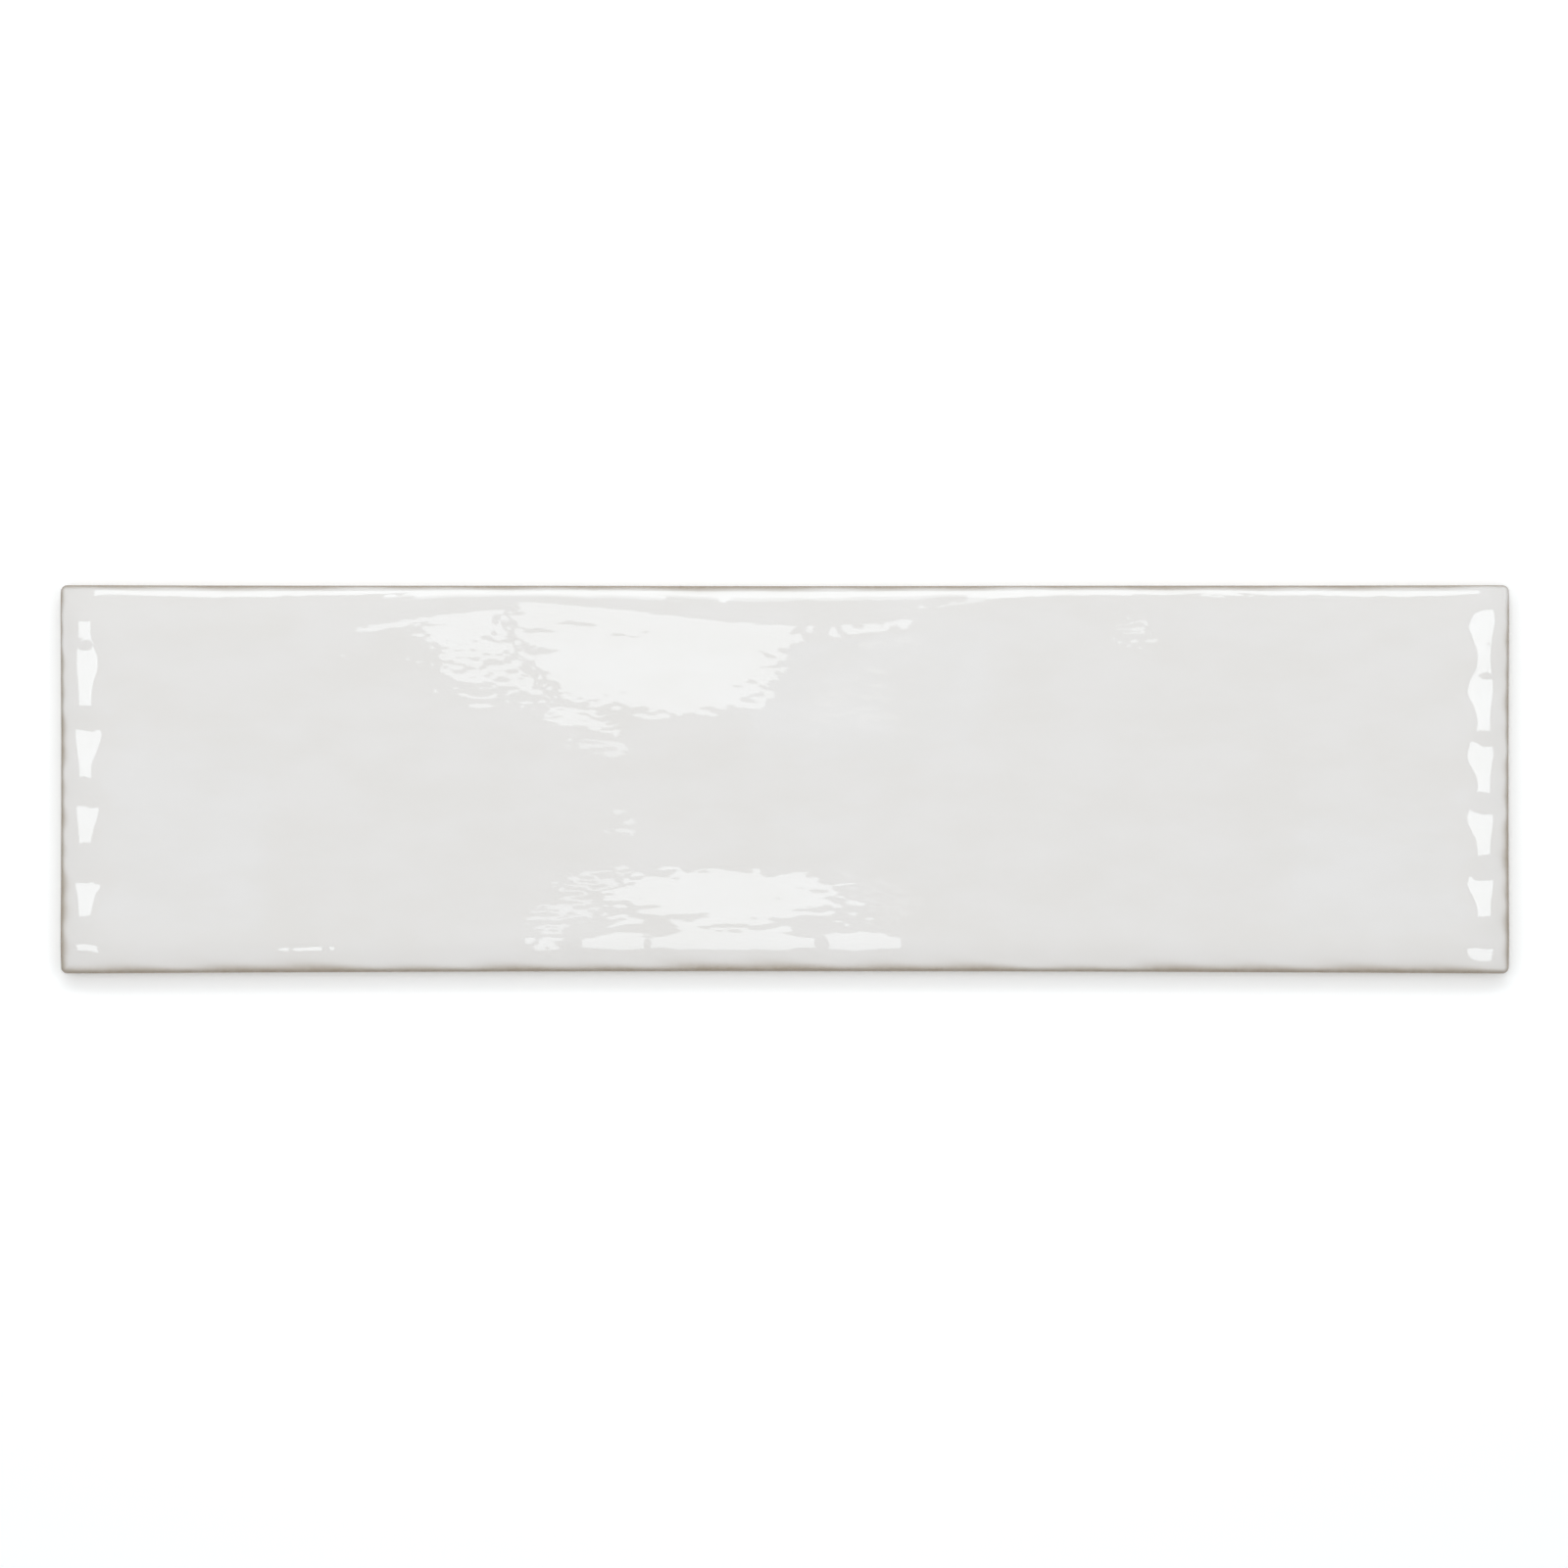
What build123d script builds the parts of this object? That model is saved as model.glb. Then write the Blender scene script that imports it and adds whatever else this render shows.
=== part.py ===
"""Glazed ceramic wall tile, pressed and fired as one piece.

The tile lies on its back with the glazed face up: X runs along its length, Y across its width,
and the origin is the middle of the plane that the back's ribs rest on. All sizes are in millimetres.
"""
from build123d import *
import os
from math import exp, pi, radians, sin

# Overall size
length = 300.0
width = 80.5
thickness = 8.6  # from the back's ribs to the face, before its swells

# Plan outline: the sides pull in a little between the corners as the clay dries and fires
front_bow = 0.5
rear_bow = 0.2
end_bow = 0.2
corner_radius = 1.3

# Cushion: the face falls away towards the rim, ever steeper, from a reach that wanders along the rear
rim_slope = 0.35
cushion_reach = 12.0
rear_reach = 10.5
rear_reach_swing = 4.2
rear_reach_period = 0.4 * length
rear_reach_start = -length / 12
rim_radius = 1.0

# Swells that hand pressing leaves: x as a share of the length, y as a share of the width,
# half length, half width, rise
swells = [
    (-0.074, 0.093, 31.0, 15.0, 0.42),
    (-0.040, -0.199, 32.0, 10.0, 0.37),
    (0.060, 0.224, 14.0, 11.0, -0.12),
    (-0.280, 0.248, 14.0, 11.0, -0.06),
]

# Rolls along the ends: waves over the width, half height, phase in degrees
left_rolls = [(5.37, 0.13, 55.0), (2.88, 0.035, 141.0)]
right_rolls = [(6.05, 0.14, 130.0)]
end_roll_inset = 5.0
end_roll_spread = 4.5

# Bead along the front, with lumps: x as a share of the length, half length, rise
bead_inset = 6.0
bead_spread = 2.5
bead_rise = 0.09
bead_lumps = [(-0.138, 3.0, 0.10), (-0.087, 3.0, 0.10), (0.017, 3.0, 0.10), (0.080, 3.0, 0.08)]

# Back: a lattice of ribs round shallow cells that the adhesive keys into
cell_columns = 9
cell_rows = 3
cell_depth = 0.9
cell_draft = 30.0  # degrees, so that the press die lets go
cell_corner_radius = 1.5
rib_width = 3.0
border_width = 6.0
back_edge_radius = 0.6

# Face surface: how many steps its points make along and across, and its overhangs past the rim, tried in turn
face_columns = 102
face_rows = 29
face_overhangs = [6.0, 5.0, 7.0, 4.0]
face_tolerance = 0.004


def cushion_fall(gap, reach):
    """Fall of the face at a gap in from the rim: a cubic that starts level at the cushion's reach."""
    return rim_slope * reach / 3 * max(0.0, 1.0 - gap / reach) ** 3


def cushion(x, y):
    """Fall at the nearer end and the nearer side."""
    rear = rear_reach + rear_reach_swing * sin(2 * pi * (x - rear_reach_start) / rear_reach_period)
    side_reach = rear if y > 0 else cushion_reach
    return cushion_fall(length / 2 - abs(x), cushion_reach) + cushion_fall(width / 2 - abs(y), side_reach)


def bell(distance, spread):
    """Bell curve, 1 in the middle."""
    return exp(-((distance / spread) ** 2))


def swell_rise(x, y):
    """Sum of the swells, each a bell along and across the tile."""
    total = 0.0
    for share_x, share_y, half_length, half_width, rise in swells:
        total += rise * bell(x - share_x * length, half_length) * bell(y - share_y * width, half_width)
    return total


def rolls(y, rows):
    """Sum of the waves along an end."""
    return sum(half * sin(2 * pi * count * y / width + radians(phase)) for count, half, phase in rows)


def bead(x):
    """Height of the front bead's crest, with its lumps."""
    return bead_rise + sum(rise * bell(x - share * length, half) for share, half, rise in bead_lumps)


def edge_rise(x, y):
    """Rolls of both ends and the front bead, each strongest at its inset from the rim."""
    left = bell(length / 2 + x - end_roll_inset, end_roll_spread) * rolls(y, left_rolls)
    right = bell(length / 2 - x - end_roll_inset, end_roll_spread) * rolls(y, right_rolls)
    front = bell(width / 2 + y - bead_inset, bead_spread) * bead(x)
    return left + right + front


def face_height(x, y):
    """Height of the glazed face above the back."""
    return thickness - cushion(x, y) + swell_rise(x, y) + edge_rise(x, y)


def spread(size, overhang, count):
    """Evenly spaced stations over a size and its overhang."""
    half = size / 2 + overhang
    return [-half + 2 * half * i / count for i in range(count + 1)]


def press(overhang):
    """Outline stood up, cut off by the face, and rounded along its back edge and its rim."""
    columns = spread(length, overhang, face_columns)
    rows = spread(width, overhang, face_rows)
    face = Face.make_surface_from_array_of_points(
        [[(x, y, face_height(x, y)) for y in rows] for x in columns],
        tol=face_tolerance,
    )
    with BuildPart() as blank:
        with BuildSketch() as plan:
            with BuildLine():
                corners = [
                    (-length / 2, -width / 2),
                    (length / 2, -width / 2),
                    (length / 2, width / 2),
                    (-length / 2, width / 2),
                ]
                for i, bow in enumerate((front_bow, end_bow, rear_bow, end_bow)):
                    SagittaArc(corners[i], corners[(i + 1) % 4], bow)
            make_face()
            fillet(plan.vertices(), corner_radius)
        extrude(amount=2 * thickness)
        fillet(blank.faces().sort_by(Axis.Z)[0].edges(), back_edge_radius)
        split(bisect_by=face, keep=Keep.BOTTOM)
        fillet(blank.faces().sort_by(Axis.Z)[-1].edges(), rim_radius)
    return blank.part


# Where a side runs into a corner, the cut can leave a sliver that the rim's round can't pass.
# A face laid out with another overhang leaves none.
for face_overhang in face_overhangs:
    try:
        pressed = press(face_overhang)
        break
    except ValueError:
        print("the rim takes no round with an overhang of", face_overhang)

with BuildPart() as tile:
    add(pressed)
    cell_length = (length - 2 * border_width - (cell_columns - 1) * rib_width) / cell_columns
    cell_width = (width - 2 * border_width - (cell_rows - 1) * rib_width) / cell_rows
    with BuildSketch():
        with GridLocations(cell_length + rib_width, cell_width + rib_width, cell_columns, cell_rows):
            RectangleRounded(cell_length, cell_width, cell_corner_radius)
    extrude(amount=cell_depth, taper=cell_draft, mode=Mode.SUBTRACT)

os.makedirs("parts", exist_ok=True)
tile.part.label = "tile"
export_step(tile.part, "parts/tile.step")
box = tile.part.bounding_box()
print("tile", box.size, "volume", round(tile.part.volume), "faces", len(tile.faces()))
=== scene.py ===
# %% [markdown]
# A long glazed wall tile, lying on its back with the glossy face up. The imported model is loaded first
# as a fixed frame. Its box is kept, because the dressed tile must stay inside it.

import bpy
import numpy as np
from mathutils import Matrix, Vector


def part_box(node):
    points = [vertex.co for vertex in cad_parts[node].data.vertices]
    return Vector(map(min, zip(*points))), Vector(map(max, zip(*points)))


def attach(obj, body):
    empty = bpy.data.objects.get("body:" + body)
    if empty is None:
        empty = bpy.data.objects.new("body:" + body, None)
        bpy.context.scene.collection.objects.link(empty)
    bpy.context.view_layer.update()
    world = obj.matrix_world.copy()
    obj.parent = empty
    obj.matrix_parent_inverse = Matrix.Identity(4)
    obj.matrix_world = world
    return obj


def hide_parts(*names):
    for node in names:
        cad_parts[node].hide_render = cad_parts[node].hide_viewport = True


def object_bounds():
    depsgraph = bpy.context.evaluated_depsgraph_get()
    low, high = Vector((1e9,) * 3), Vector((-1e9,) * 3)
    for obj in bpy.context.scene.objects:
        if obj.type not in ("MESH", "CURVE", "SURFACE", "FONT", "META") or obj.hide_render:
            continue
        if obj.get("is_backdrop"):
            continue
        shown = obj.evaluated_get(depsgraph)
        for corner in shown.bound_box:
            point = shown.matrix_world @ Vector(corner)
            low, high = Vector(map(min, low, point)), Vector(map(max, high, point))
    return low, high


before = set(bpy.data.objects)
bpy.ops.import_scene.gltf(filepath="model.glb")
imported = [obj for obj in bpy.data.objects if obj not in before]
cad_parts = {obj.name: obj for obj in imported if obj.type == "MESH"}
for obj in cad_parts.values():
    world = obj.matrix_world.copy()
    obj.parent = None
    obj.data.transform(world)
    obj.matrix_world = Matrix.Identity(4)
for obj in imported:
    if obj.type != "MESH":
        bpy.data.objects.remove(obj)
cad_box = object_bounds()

scene = bpy.context.scene
MM = 0.001
low, high = (np.array(corner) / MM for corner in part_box("tile"))
half_length, half_width, top = (high[0] - low[0]) / 2, (high[1] - low[1]) / 2, high[2]
print("frame box, mm:", np.round(high - low, 2))

# %% [markdown]
# The face is what makes this tile. It was pressed by hand, so it isn't flat: it swells a little in the
# middle, falls away to the rim like a cushion, and rolls slightly along its edges. A sculpted mesh or a
# displacement texture could give such a face. Here it is a height worked out from the place on the tile,
# because then every lump has a size in millimetres, and the same few lumps are in the solid model.

# %% Sizes of the cushion, the swells and the rolling edges
length, width = 2 * half_length, 2 * half_width
rim_slope = 0.35
cushion_reach = 12.0
rear_reach, rear_swing, rear_period, rear_start = 10.5, 4.2, 0.4 * length, -length / 12
# Each swell: x and y as shares of the length and width, half length, half width, rise
swells = [
    (-0.074, 0.093, 31.0, 15.0, 0.42),
    (-0.040, -0.199, 32.0, 10.0, 0.37),
    (0.060, 0.224, 14.0, 11.0, -0.12),
    (-0.280, 0.248, 14.0, 11.0, -0.06),
]
# Too faint for the solid model: it only shapes the edge of a reflection
faint_swells = [(-0.137, 0.217, 14.0, 9.0, 0.055)]
# Each roll along an edge: wavelength, half height, phase in degrees
left_rolls = [(width / 5.37, 0.13, 55.0), (width / 2.88, 0.035, 141.0)]
right_rolls = [(width / 6.05, 0.14, 130.0)]
rear_rolls = [(31.0, 0.02, 0.0), (19.0, 0.01, 50.0)]
end_inset, end_spread = 5.0, 4.5
rear_inset, rear_spread = 2.5, 2.0
# Each lump of the front bead: x as a share of the length, half length, rise
bead_lumps = [(-0.138, 3.0, 0.10), (-0.087, 3.0, 0.10), (0.017, 3.0, 0.10), (0.080, 3.0, 0.08)]
bead_inset, bead_spread, bead_rise = 6.0, 2.5, 0.09
print("swells:", len(swells), "and faint ones:", len(faint_swells))

# %% The height of the face


def cushion_fall(gap, reach):
    """Slope at the rim times a third of the reach, times the cube of the share of the reach that is left."""
    return rim_slope * reach / 3 * np.clip(1 - gap / reach, 0, None) ** 3


def bell(distance, spread):
    """E to minus the square of the distance over the spread."""
    return np.exp(-((distance / spread) ** 2))


def swell(x, y, share_x, share_y, along, across, rise):
    """A rise times a bell along the tile and a bell across it."""
    return rise * bell(x - share_x * length, along) * bell(y - share_y * width, across)


def rolls(run, rows):
    """The sum of sines along an edge, each with its wavelength, half height and phase."""
    return sum(half * np.sin(2 * np.pi * run / wave + np.radians(phase)) for wave, half, phase in rows)


def bead(x):
    """The height of the front bead, plus a bell for each of its lumps."""
    return bead_rise + sum(rise * bell(x - share * length, half) for share, half, rise in bead_lumps)


def face_height(x, y):
    """Minus the cushion's fall at the ends and sides, plus every swell, plus the rolls of each edge."""
    rear = rear_reach + rear_swing * np.sin(2 * np.pi * (x - rear_start) / rear_period)
    height = -cushion_fall(half_length - np.abs(x), cushion_reach)
    height -= cushion_fall(half_width - np.abs(y), np.where(y > 0, rear, cushion_reach))
    height += sum(swell(x, y, *row) for row in swells + faint_swells)
    height += bell(half_length + x - end_inset, end_spread) * rolls(y, left_rolls)
    height += bell(half_length - x - end_inset, end_spread) * rolls(y, right_rolls)
    height += bell(half_width - y - rear_inset, rear_spread) * rolls(x, rear_rolls)
    height += bell(half_width + y - bead_inset, bead_spread) * bead(x)
    return height


print("rise at the middle, mm:", round(float(face_height(0.0, 0.0)), 3))

# %% [markdown]
# Under a gloss the eye sees slopes of a thousandth, so the face also needs the faint ripples that the
# glaze keeps as it sets. They are longer along the tile than across it, which gives the torn, stretched
# edges of its reflections. Noise could do it, but a sum of sines has no grid of its own to show.

# %% Ripples of the glaze
# Each set: seed, how many, shortest and longest wave along the tile and across it, slope
ripple_sets = [
    (3, 24, (25.0, 90.0), (6.0, 16.0), 0.0010),
    (23, 30, (8.0, 30.0), (2.6, 6.0), 0.0024),
]


def ripples(x, y, seed, count, waves_x, waves_y, slope):
    """A sum of sines of random wavelengths, each as high as gives it the same share of the slope."""
    draw = np.random.default_rng(seed)
    height = np.zeros_like(x)
    for _ in range(count):
        kx = 2 * np.pi / draw.uniform(*waves_x) * draw.choice([-1, 1])
        ky = 2 * np.pi / draw.uniform(*waves_y)
        share = slope / np.hypot(kx, ky) / np.sqrt(count / 2)
        height += share * np.sin(kx * x + ky * y + draw.uniform(0, 2 * np.pi))
    return height


def glaze_ripples(x, y):
    """The sum of the sets: slow ripples and fine ones."""
    return sum(ripples(x, y, *row) for row in ripple_sets)


cross_line = np.linspace(-half_width, half_width, 400)
cross_height = glaze_ripples(0 * cross_line, cross_line)
print("ripple height across the middle, mm:", round(float(np.ptp(cross_height)), 3))

# %% [markdown]
# The mesh is one closed skin in four parts: the face, the sides, a flat border under the tile and the
# lattice of its back. The face is a grid whose lines crowd together at the rim, where the round is only a
# millimetre across. A bevel modifier would round the rim too, but not with the lines where they are needed.

# %% The face as a grid
rim_radius = 1.0
corner_radius = 1.3
front_bow, rear_bow, end_bow = 0.5, 0.2, 0.2
rim_steps = 9
line_gap_x, line_gap_y = 0.60, 0.58


def stations(half, line_gap):
    """Places across the tile: sines crowd them into the rim, and the rest are evenly spaced."""
    rim = rim_radius * (1 - np.sin(np.linspace(np.pi / 2, 0, rim_steps)))
    inner = np.linspace(corner_radius, half, 1 + int((half - corner_radius) / line_gap))
    gaps = np.concatenate([rim, inner])
    return np.concatenate([gaps - half, half - gaps[-2::-1]])


def corner_share(gap):
    """How far into the corner's round a line is: 0 where the round starts, 1 on the outline."""
    return np.clip(1 - gap / corner_radius, 0, 1)


def plan(x, y):
    """Rounds the corners by the square-to-disc rule and pulls each side in by its bow, a parabola."""
    u, v = corner_share(half_length - np.abs(x)), corner_share(half_width - np.abs(y))
    px = x + np.sign(x) * corner_radius * u * (np.sqrt(1 - v * v / 2) - 1)
    py = y + np.sign(y) * corner_radius * v * (np.sqrt(1 - u * u / 2) - 1)
    bow = np.where(y < 0, front_bow, rear_bow)
    px -= end_bow * x / half_length * (1 - (y / half_width) ** 2)
    py -= bow * y / half_width * (1 - (x / half_length) ** 2)
    rim_gap = corner_radius * (1 - np.sqrt(u * u + v * v - u * u * v * v))
    flat_gap = np.minimum(half_length - np.abs(x), half_width - np.abs(y))
    return px, py, np.where(u + v > 0, rim_gap, flat_gap)


def rim_fall(gap):
    """A quarter circle of the rim's radius: nothing at the radius, the whole radius on the outline."""
    t = np.clip(1 - gap / rim_radius, 0, 1)
    return rim_radius * (1 - np.sqrt(1 - t * t))


sx, sy = stations(half_length, line_gap_x), stations(half_width, line_gap_y)
gx, gy = np.meshgrid(sx, sy, indexing="ij")
face_x, face_y, face_gap = plan(gx, gy)
face_z = face_height(gx, gy) + glaze_ripples(gx, gy)
face_z += top - face_z.max() - rim_fall(face_gap)
print("face grid", face_z.shape, "lowest rim", round(face_z.min(), 2), "crest", round(face_z.max(), 2))

# %% [markdown]
# The sides follow the outline of the grid down to the back, where a small round ends them. Walking round
# the grid's border once gives a ring of points, and each row of the side is that ring at another height.

# %% The sides as rings
back_edge_radius = 0.6
side_rows, edge_rows = 6, 4


def border(grid):
    """The outermost values of a grid, once round, anticlockwise seen from above."""
    return np.concatenate([grid[:, 0], grid[-1, 1:], grid[-2::-1, -1], grid[0, -2:0:-1]])


ring_x, ring_y, ring_z = border(face_x), border(face_y), border(face_z)
run_x, run_y = np.roll(ring_x, -1) - np.roll(ring_x, 1), np.roll(ring_y, -1) - np.roll(ring_y, 1)
run = np.hypot(run_x, run_y)
in_x, in_y = -run_y / run, run_x / run
drop = np.linspace(0, 1, side_rows + 1)[1:, None]
bend = np.linspace(0, np.pi / 2, edge_rows + 1)[1:, None]
side_inset = np.concatenate([0 * drop, back_edge_radius * (1 - np.cos(bend))])
side_z = np.concatenate([
    ring_z + drop * (back_edge_radius - ring_z),
    np.repeat(back_edge_radius * (1 - np.sin(bend)), len(ring_z), axis=1),
])
side_x = ring_x + side_inset * in_x
side_y = ring_y + side_inset * in_y
print("side rings", side_z.shape)

# %% [markdown]
# The back has a lattice of ribs, pressed in so that the adhesive can grip. Each cell is a shallow tray
# with rounded corners and sloping walls. Booleans could cut the trays, but a height from the distance to
# the nearest cell's edge does all of them at once, on a grid whose lines lie where a wall bends.

# %% The lattice of the back
cell_columns, cell_rows = 9, 3
cell_depth, cell_draft, cell_corner_radius = 0.9, 30.0, 1.5
rib_width, border_width, back_inset = 3.0, 6.0, 2.0
wall_run = cell_depth * np.tan(np.radians(cell_draft))
round_line = 1.0  # mm from a cell's edge: one more grid line within its corner round


def cell_size(half, count):
    """What the border and the ribs leave, shared by the cells."""
    return (2 * half - 2 * border_width - (count - 1) * rib_width) / count


def cell_lines(half, count):
    """Lines where a cell's wall starts, ends and its corner round lies, for every cell, and the border."""
    size = cell_size(half, count)
    start = -half + border_width + np.arange(count) * (size + rib_width)
    steps = np.array([0, wall_run / 2, wall_run, round_line, cell_corner_radius])
    offsets = np.concatenate([steps, size - steps[::-1]])
    lines = (start[:, None] + offsets).ravel()
    return np.concatenate([[back_inset - half], lines, [half - back_inset]])


def past_round(place, half, count):
    """Distance from the middle of the nearest cell, less its half size, plus its corner radius."""
    pitch = cell_size(half, count) + rib_width
    shifted = place + count * pitch / 2
    index = np.clip(np.floor(shifted / pitch), 0, count - 1)
    return np.abs(shifted - (index + 0.5) * pitch) - cell_size(half, count) / 2 + cell_corner_radius


def cell_wall(x, y):
    """Depth from the signed distance to a rounded rectangle, the same in every cell of the lattice."""
    dx = past_round(x, half_length, cell_columns)
    dy = past_round(y, half_width, cell_rows)
    outside = np.hypot(np.clip(dx, 0, None), np.clip(dy, 0, None))
    distance = outside + np.minimum(np.maximum(dx, dy), 0) - cell_corner_radius
    return cell_depth * np.clip(-distance / wall_run, 0, 1)


back_x, back_y = np.meshgrid(
    cell_lines(half_length, cell_columns), cell_lines(half_width, cell_rows), indexing="ij")
back_z = cell_wall(back_x, back_y)
print("back grid", back_z.shape, "deepest", back_z.max())

# %% [markdown]
# Now the parts are numbered and sewn together. Neighbouring grid points make squares, neighbouring rings
# make the sides, and four long flat faces fill the border between the last ring and the back's grid.

# %% Sew the skin


def squares(index, flip=False):
    """Four neighbours of every cell of an index grid; flipped, they face the other way."""
    corners = [index[:-1, :-1], index[1:, :-1], index[1:, 1:], index[:-1, 1:]]
    quads = np.stack([corner.ravel() for corner in corners], axis=1)
    return quads[:, ::-1] if flip else quads


def quarter(ring, corners, i):
    """The stretch of a ring from one corner to the next, both included."""
    start, end = corners[i], corners[(i + 1) % 4]
    return np.append(ring, ring[0])[start:(end or len(ring)) + 1]


def ring_corners(shape):
    """Where the corners of a grid stand in its border."""
    m, n = shape[0] - 1, shape[1] - 1
    return [0, m, m + n, 2 * m + n]


face_index = np.arange(face_z.size).reshape(face_z.shape)
side_index = face_z.size + np.arange(side_z.size).reshape(side_z.shape)
back_index = face_z.size + side_z.size + np.arange(back_z.size).reshape(back_z.shape)
rings = np.vstack([border(face_index), side_index])
rings = np.hstack([rings, rings[:, :1]])
back_quads = squares(back_index, flip=True)
quads = np.vstack([squares(face_index), squares(rings), back_quads])
last_ring, back_ring = side_index[-1], border(back_index)
strips = []
for i in range(4):
    outer = quarter(last_ring, ring_corners(face_z.shape), i)
    inner = quarter(back_ring, ring_corners(back_z.shape), i)
    strips.append(np.concatenate([outer[::-1], inner]).tolist())
parts = [(face_x, side_x, back_x), (face_y, side_y, back_y), (face_z, side_z, back_z)]
points = np.stack([np.concatenate([part.ravel() for part in axis]) for axis in parts], axis=1)
mesh = bpy.data.meshes.new("glazed_tile")
mesh.from_pydata(points * MM, [], quads.tolist() + strips)
smooth = np.ones(len(mesh.polygons), dtype=bool)
smooth[len(quads) - len(back_quads):] = False
mesh.polygons.foreach_set("use_smooth", smooth)
tile = bpy.data.objects.new("glazed_tile", mesh)
scene.collection.objects.link(tile)
print("tile faces", len(mesh.polygons), "triangles", sum(len(p.vertices) - 2 for p in mesh.polygons))

# %% [markdown]
# Glaze runs thin over a sharp edge, and the clay shows through it there as a brownish line, widest along
# the front. It also stops on the way down the sides, in an uneven line, and the back has none. Two numbers
# on every point tell the material about it: how deep the glaze lies, and whether there is any. Masks
# painted by hand would do the same, but these follow from the distance to the rim.

# %% How much glaze there is
thin_reach, thin_swing = 1.02, 0.45
thin_lean, thin_ends = -0.29, 0.15
glaze_end, glaze_swing, end_blur = 3.3, 1.0, 0.4
side_depth, side_run, side_swing = 0.7, 2.0, 0.3
# Each sine round the outline: its wavelength over two pi, its phase
walk_tilt, walk_sines = 3.0, [(7.3, 0.0), (3.1, 1.0), (17.7, 2.0)]


def round_walk(x, y):
    """A slow uneven number along the outline: the mean of three sines of the distance along it."""
    walk = x + walk_tilt * y
    return sum(np.sin(walk / size + phase) for size, phase in walk_sines) / len(walk_sines)


def ease(t):
    """A smooth step from 0 to 1."""
    t = np.clip(t, 0, 1)
    return t * t * (3 - 2 * t)


def thin_glaze(x, y, gap):
    """1 less a bell of the gap over a reach, which leans to the front, is less at the ends, and swings."""
    lean = 1 + thin_lean * y / half_width - thin_ends * (x / half_length) ** 2
    return 1 - bell(gap, thin_reach * lean * (1 + thin_swing * round_walk(x, y)))


face_depth = thin_glaze(gx, gy, face_gap)
side_fall = ring_z - side_z
side_walk = round_walk(ring_x, ring_y)
wall_depth = side_depth * ease(side_fall / side_run) * (1 + side_swing * side_walk)
side_cover = ease((side_z - glaze_end - glaze_swing * side_walk) / end_blur)
depths = np.concatenate([face_depth.ravel(), wall_depth.ravel(), 0 * back_z.ravel()])
covers = np.concatenate([np.ones(face_z.size), side_cover.ravel(), 0 * back_z.ravel()])
for name, values in (("glaze_depth", depths), ("glaze_cover", covers)):
    layer = mesh.attributes.new(name, "FLOAT", "POINT")
    layer.data.foreach_set("value", values.astype(np.float32))
    print(name, "from", round(float(values.min()), 2), "to", round(float(values.max()), 2))
mesh.update()

# %% [markdown]
# Materials are node trees. Wiring them by hand takes many lines, so one small class stands for a socket:
# arithmetic on it adds Math nodes, and its node method adds any other node.

# %% Sockets that do arithmetic


class Socket:
    """An output socket of a node tree that takes part in sums."""

    def __init__(self, tree, output=None):
        self.tree = tree
        self.output = output

    def node(self, kind, settings=None, inputs=None, out=0):
        """Adds a node, sets its settings first, then fills or links its sockets, and returns one output."""
        made = self.tree.nodes.new(kind)
        for name, value in (settings or {}).items():
            setattr(made, name, value)
        for name, value in (inputs or {}).items():
            if isinstance(value, Socket):
                self.tree.links.new(value.output, made.inputs[name])
            else:
                made.inputs[name].default_value = value
        return Socket(self.tree, made.outputs[out] if len(made.outputs) else None)

    def math(self, operation, first, second):
        """A Math node of two values."""
        return self.node("ShaderNodeMath", {"operation": operation}, {0: first, 1: second})

    def __add__(self, other):
        return self.math("ADD", self, other)

    def __sub__(self, other):
        return self.math("SUBTRACT", self, other)

    def __rsub__(self, other):
        return self.math("SUBTRACT", other, self)

    def __mul__(self, other):
        return self.math("MULTIPLY", self, other)

    __radd__ = __add__
    __rmul__ = __mul__

    def step(self, start, end):
        """A smooth step from 0 at start to 1 at end."""
        return self.node("ShaderNodeMapRange", {"interpolation_type": "SMOOTHSTEP"},
                         {"Value": self, "From Min": start, "From Max": end})

    def noise(self, place, size, detail=2.0):
        """Noise whose lumps are about so many millimetres wide."""
        inputs = {"Vector": place, "Scale": 1 / (size * MM), "Detail": detail}
        return self.node("ShaderNodeTexNoise", {}, inputs)

    def seen(self):
        """1 for what the camera sees, straight, in a gloss or through glass, and 0 for falling light."""
        kinds = ("Is Camera Ray", "Is Glossy Ray", "Is Transmission Ray")
        return sum(self.node("ShaderNodeLightPath", out=kind) for kind in kinds)

    def blend(self, first, second):
        """A colour between two, by this socket."""
        return self.node("ShaderNodeMix", {"data_type": "RGBA"}, {0: self, 6: first, 7: second}, out=2)


def new_tree(name):
    """An empty material and a socket maker for its tree."""
    material = bpy.data.materials.new(name)
    material.use_nodes = True
    material.node_tree.nodes.clear()
    return material, Socket(material.node_tree)


print("a socket adds, subtracts, multiplies, and makes steps, noise and blends")
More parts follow.
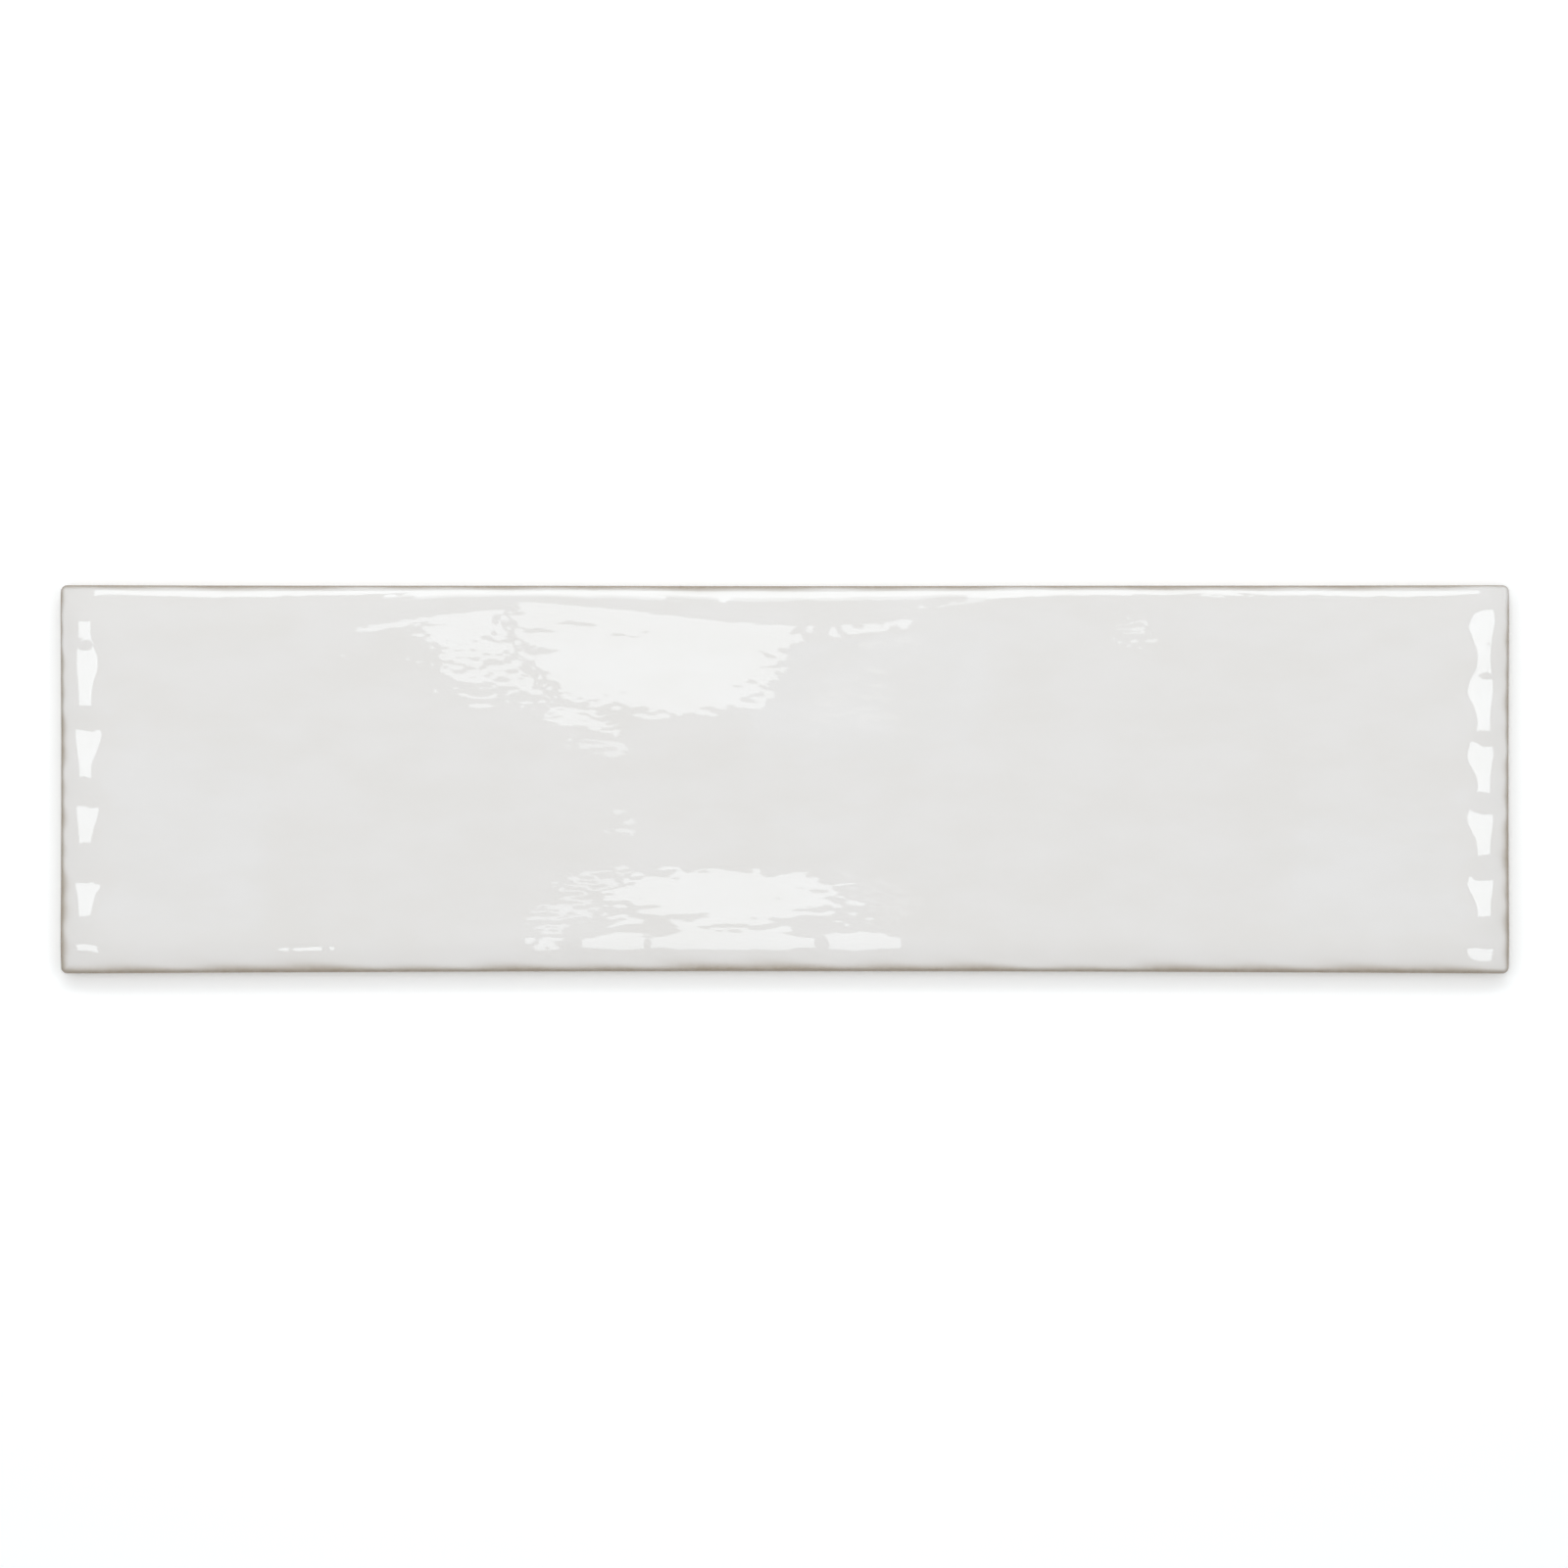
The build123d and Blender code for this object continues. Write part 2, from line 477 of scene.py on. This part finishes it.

# %% [markdown]
# The glaze is a warm white gloss. Its colour also carries painted reflection: soft clouds, a shade or two
# cooler and lighter, stand in for broad reflections on the face. Under the glaze is buff fired clay. One
# material holds both: the cover number chooses between them, and the depth number stains the white. Noise
# frays both a little, so that no line is ruled. The finest unevenness of the glaze is about a hundredth of a
# millimetre high, too small for the mesh, so a bump gives it. It tears the edges of the reflections.

# %% Glaze over fired clay
# The second white is painted reflection: a cooler, lighter glaze colour for the clouds that stand in for
# broad reflections
warm_white, painted_reflection_white = (0.744, 0.719, 0.696, 1), (0.761, 0.738, 0.721, 1)
thin_brown = (0.345, 0.280, 0.209, 1)
clay_light, clay_dark = (0.56, 0.47, 0.37, 1), (0.47, 0.385, 0.30, 1)
clay_rough, glaze_rough, cloud_rough = 0.85, 0.01, 0.004
cloud_size, tear_size, fray_size, grain_size = 9.0, 1.4, 1.6, 0.5
edge_fray, stain_fray = 0.5, 0.3
tear_height, grain_height, grain_strength = 0.011, 0.12, 0.35
glaze, kit = new_tree("white_glaze")
place = kit.node("ShaderNodeTexCoord", out="Object")
depth = kit.node("ShaderNodeAttribute", {"attribute_name": "glaze_depth"}, out="Fac")
cover = kit.node("ShaderNodeAttribute", {"attribute_name": "glaze_cover"}, out="Fac")
stretched = kit.node("ShaderNodeMapping", {}, {"Vector": place, "Scale": (0.5, 1, 1)})
# Painted reflection: soft clouds of cooler white in the glaze's colour, which also lower its roughness a
# little
painted_reflection_clouds = kit.noise(stretched, cloud_size, 5.0).step(0.3, 0.7)
tears = kit.noise(stretched, tear_size, 0.0)
fray = kit.noise(place, fray_size) - 0.5
grain = kit.noise(place, grain_size, 4.0)
glazed = (cover + fray * edge_fray).step(0.35, 0.65)
white = painted_reflection_clouds.blend(warm_white, painted_reflection_white)
coat = (depth + fray * stain_fray * (1 - depth)).blend(thin_brown, white)
clay = grain.step(0.35, 0.65).blend(clay_dark, clay_light)
colour = glazed.blend(clay, coat)
roughness = clay_rough - glazed * (clay_rough - glaze_rough - painted_reflection_clouds * cloud_rough)
waver = kit.node("ShaderNodeBump", {}, {"Distance": tear_height * MM, "Height": tears})
bump = kit.node("ShaderNodeBump", {}, {
    "Strength": grain_strength, "Distance": grain_height * MM,
    "Height": grain * (1 - glazed), "Normal": waver})
surface = kit.node("ShaderNodeBsdfPrincipled", {}, {
    "Base Color": colour, "Roughness": roughness, "Normal": bump})
kit.node("ShaderNodeOutputMaterial", {}, {"Surface": surface})
mesh.materials.append(glaze)
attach(tile, "root")
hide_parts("tile")
print("material nodes", len(glaze.node_tree.nodes))

# %% [markdown]
# The tile lies on a pale sheet. It is a plane with a little glow that only the camera and reflections see,
# so that the paper turns white while the tile's shadow stays on it. Away from the tile it fades into plain
# white, as a sheet that curves up behind would.

# %% The sheet it lies on
sheet_half, sheet_glow = 3.0, 0.125
sheet_gap = 0.02  # mm under the ribs, so that the two don't share a plane
fade_start, fade_end = 0.25, 0.50
paper_white = (0.93, 0.93, 0.93, 1)
sheet_mesh = bpy.data.meshes.new("pale_sheet")
sheet_corners = np.array([(-1, -1, 0), (1, -1, 0), (1, 1, 0), (-1, 1, 0)]) * sheet_half
sheet_mesh.from_pydata(sheet_corners - (0, 0, sheet_gap * MM), [], [(0, 1, 2, 3)])
sheet = bpy.data.objects.new("pale_sheet", sheet_mesh)
scene.collection.objects.link(sheet)
paper, kit = new_tree("white_paper")
glow = kit.node("ShaderNodeEmission", {}, {"Strength": kit.seen() * sheet_glow})
matt = kit.node("ShaderNodeBsdfDiffuse", {}, {"Color": paper_white})
lit_paper = kit.node("ShaderNodeAddShader", {}, {0: matt, 1: glow})
plain_white = kit.node("ShaderNodeEmission", {}, {"Strength": kit.seen()})
place = kit.node("ShaderNodeTexCoord", out="Object")
distance = kit.node("ShaderNodeVectorMath", {"operation": "LENGTH"}, {0: place}, out="Value")
fade = distance.step(fade_start, fade_end)
both = kit.node("ShaderNodeMixShader", {}, {0: fade, 1: lit_paper, 2: plain_white})
kit.node("ShaderNodeOutputMaterial", {}, {"Surface": both})
sheet_mesh.materials.append(paper)
sheet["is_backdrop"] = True
print("sheet is white from", fade_end, "m out")

# %% [markdown]
# A gloss shows its lamps. Seen from straight above, the flat of the face mirrors only the plain sky, and
# the slopes reach the panels beside the camera. So each panel stands where one slope looks: the lights of
# a window behind the tile, small panes for the stray patches, a panel in front and a strip past each end.
# One picture of a studio round the tile could do it too, but a panel can be moved by itself.

# %% Panels beside the camera
daylight = (0.90, 0.97, 1.0)


def panel(name, left, right, near, far, radiance, height=1.0, turn=0.0, colour=daylight):
    """A level lamp that shines down: its edges in metres, its power from its area and radiance."""
    light = bpy.data.lights.new(name, "AREA")
    light.shape = "RECTANGLE"
    light.size = right - left
    light.size_y = far - near
    light.color = colour
    light.energy = radiance * np.pi * (right - left) * (far - near)
    lamp = bpy.data.objects.new(name, light)
    lamp.location = ((left + right) / 2, (near + far) / 2, height)
    lamp.rotation_euler.z = np.radians(turn)
    lamp.visible_camera = False
    scene.collection.objects.link(lamp)
    return lamp


# Each panel: its left, right, near and far edges in metres, its radiance
panels = [
    ("window_tongue", -0.178, -0.148, 0.064, 0.098, 2.7),
    ("window_left", -0.150, -0.133, 0.049, 0.098, 2.7),
    ("window_side", -0.133, -0.119, 0.056, 0.098, 2.7),
    ("window_edge", -0.113, -0.085, 0.063, 0.205, 2.7),
    ("window_inner", -0.085, -0.045, 0.067, 0.205, 2.7),
    ("window_middle", -0.045, 0.013, 0.067, 0.205, 2.7),
    ("window_right", 0.023, 0.035, 0.115, 0.190, 2.8),
    ("upper_pane", -0.121, -0.086, 0.031, 0.045, 2.8),
    ("right_pane", 0.037, 0.052, 0.049, 0.056, 1.2),
    ("far_pane", 0.140, 0.150, 0.061, 0.068, 2.4),
    ("front_panel", -0.086, 0.046, -0.410, -0.085, 3.0),
    ("front_edge", -0.104, -0.086, -0.410, -0.125, 3.0),
    ("front_pane", -0.106, -0.083, -0.077, -0.067, 2.2),
    ("front_corner", 0.040, 0.062, -0.073, -0.065, 0.9),
    ("front_slot", -0.208, -0.192, -0.400, -0.330, 4.4),
    ("left_strip", -0.650, -0.400, -0.025, 0.180, 4.4),
    ("left_foot", -0.650, -0.400, -0.430, -0.330, 4.4),
    ("right_strip", 0.385, 0.640, -0.070, 0.195, 4.6),
    ("right_foot", 0.385, 0.640, -0.430, -0.330, 4.6),
]
for row in panels:
    panel(*row)
panel("lower_pane", -0.112, -0.078, 0.001, 0.012, 1.9, turn=-33.0)
print("panels", len(panels) + 1)

# %% [markdown]
# A bright line runs along the rear rim, where the round mirrors a lamp far behind. One long lamp would draw
# it evenly, but the rim's cushion wanders, so the line would fade in places. Short bars draw it instead,
# and each stands where its stretch of the rim looks. Some have a dimmer bar in front, for a soft edge.

# %% Bars behind the tile
# Each bar: its right end, its near edge, how far a dimmer one reaches in front of it
rear_bars = [
    (-0.215, 0.600, 0), (-0.195, 0.500, 0.03), (-0.055, 0.450, 0.06), (-0.010, 0.500, 0.07),
    (0.025, 0.585, 0.06), (0.050, 0.480, 0.14), (0.160, 0.420, 0), (0.222, 0.475, 0),
    (0.240, 0.530, 0), (0.430, 0.610, 0),
]
bar_left, bar_far, bar_radiance, dim_radiance = -0.430, 0.780, 4.6, 2.2
for bar_right, bar_near, dim in rear_bars:
    panel("rear_bar", bar_left, bar_right, bar_near, bar_far, bar_radiance)
    if dim:
        panel("dim_bar", bar_left, bar_right, bar_near - dim, bar_near, dim_radiance)
    bar_left = bar_right
print("bars", len(rear_bars), "from", rear_bars[0][0], "to", rear_bars[-1][0], "m")

# %% [markdown]
# Three faint bluish panes lay a cool sheen on parts of the flat. A wide ceiling gives most of the light. It
# is kept out of the reflections, because a gloss would lose its contrast. The sky is white to the camera
# and in the gloss, and gives only a little light, so that the tile keeps a shadow.

# %% Sheen, ceiling and sky
sky_strength, blue_sky = 0.22, (0.50, 0.72, 1.0)
panel("sky_right", 0.005, 0.080, 0.015, 0.085, 0.40, colour=blue_sky)
panel("sky_corner", 0.210, 0.300, -0.080, -0.020, 0.40, colour=blue_sky)
panel("sky_left", -0.300, -0.215, -0.060, 0.015, 0.35, colour=blue_sky)
ceiling = panel("ceiling", -0.680, 0.600, -0.400, 0.900, 1.56, 1.05, colour=(1.0, 1.0, 1.0))
ceiling.visible_glossy = False
world = bpy.data.worlds.new("plain_sky")
world.use_nodes = True
world.node_tree.nodes.clear()
kit = Socket(world.node_tree)
sky = kit.node("ShaderNodeBackground", {}, {
    "Color": (1.0, 1.0, 1.0, 1), "Strength": kit.seen() * (1 - sky_strength) + sky_strength})
kit.node("ShaderNodeOutputWorld", {}, {"Surface": sky})
scene.world = world

# %% [markdown]
# The camera looks straight down with a long lens from a metre away, so that the sides stay hidden. The
# frame is a little wider than the tile, and the tile lies a touch above its middle.

# %% Camera
camera_gap = 1.0
frame_width = 0.32425
aim_x, aim_y = -0.00018, -0.00095
outline_height = 0.007
camera_data = bpy.data.cameras.new("camera")
camera_data.sensor_width = 36.0
camera_data.lens = camera_data.sensor_width * (camera_gap - outline_height) / frame_width
camera = bpy.data.objects.new("camera", camera_data)
camera.location = (aim_x, aim_y, camera_gap)
scene.collection.objects.link(camera)
scene.camera = camera
scene.view_settings.view_transform = "Standard"
print("lens", round(camera_data.lens, 1), "mm")

# %% [markdown]
# Last, the box of the dressed tile is printed, as the frame's box was at the start. The glaze is part of
# the solid's size, so the second box has to lie inside the first.

# %% The dressed tile's box
boxes = {"cad": cad_box, "visual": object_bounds()}
dressed_low, dressed_high = (np.array(corner) / MM for corner in boxes["visual"])
print("dressed box, mm:", np.round(dressed_high - dressed_low, 2))
